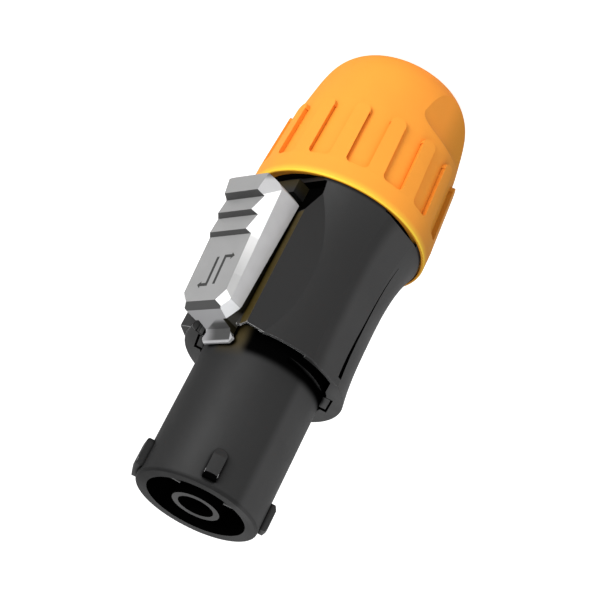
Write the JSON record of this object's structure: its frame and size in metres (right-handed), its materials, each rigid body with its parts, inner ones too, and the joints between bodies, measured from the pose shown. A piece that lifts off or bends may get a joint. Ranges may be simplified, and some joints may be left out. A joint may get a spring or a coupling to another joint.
{
  "type": "twist-lock power connector",
  "caption": "Round locking cable connector with keyed barrel, waisted body, sprung thumb latch and ribbed screw bushing over a slotted cable clamp.",
  "frame": {"origin": "middle of the cable entry in the rear face that the part stands on", "axes": "+Z along the connector axis in the mating direction, thumb latch on the -Y side"},
  "size_m": [0.031, 0.0352, 0.0818],
  "materials": {
    "housing": "fine moulded texture",
    "insert": "moulded",
    "latch": "satin plated zinc die casting",
    "bushing": "satin moulded",
    "clamp": "moulded",
    "rubber": "matt",
    "contact": "plated",
    "steel": "zinc plated"
  },
  "bodies": {
    "housing": {"housing": "housing", "contact_insert": "insert", "latch_stop": "insert", "latch_spring": "steel", "front_seal": "rubber", "insert_seal": "rubber", "neck_seal": "rubber", "contact_line": "contact", "terminal_screw_line": "steel", "clamp_plate_line": "steel", "contact_neutral": "contact", "terminal_screw_neutral": "steel", "clamp_plate_neutral": "steel", "contact_earth": "contact", "terminal_screw_earth": "steel", "clamp_plate_earth": "steel"},
    "latch": {"latch": "latch"},
    "cable_clamp": {"cable_clamp": "clamp", "cable_seal": "rubber"},
    "gland_nut": {"gland_nut": "bushing"}
  },
  "joints": [
    {"name": "latch_slide", "type": "slide", "parent": "housing", "child": "latch", "axis": [0, 0, -1], "range_m": [0, 0.003], "stiffness_N_per_m": 840, "springref_m": -0.004, "deforming": ["latch_spring"]},
    {"name": "clamp_slide", "type": "slide", "parent": "housing", "child": "cable_clamp", "axis": [0, 0, -1], "range_m": [0, 0.006]},
    {"name": "nut_turn", "type": "hinge", "parent": "cable_clamp", "child": "gland_nut", "pos_m": [0, 0, 0.015], "axis": [0, 0, -1], "range_deg": [0, 1080]}
  ],
  "couplings": [
    {"joint": "nut_turn", "follows": "clamp_slide", "rad_per_m": 3141.6}
  ]
}
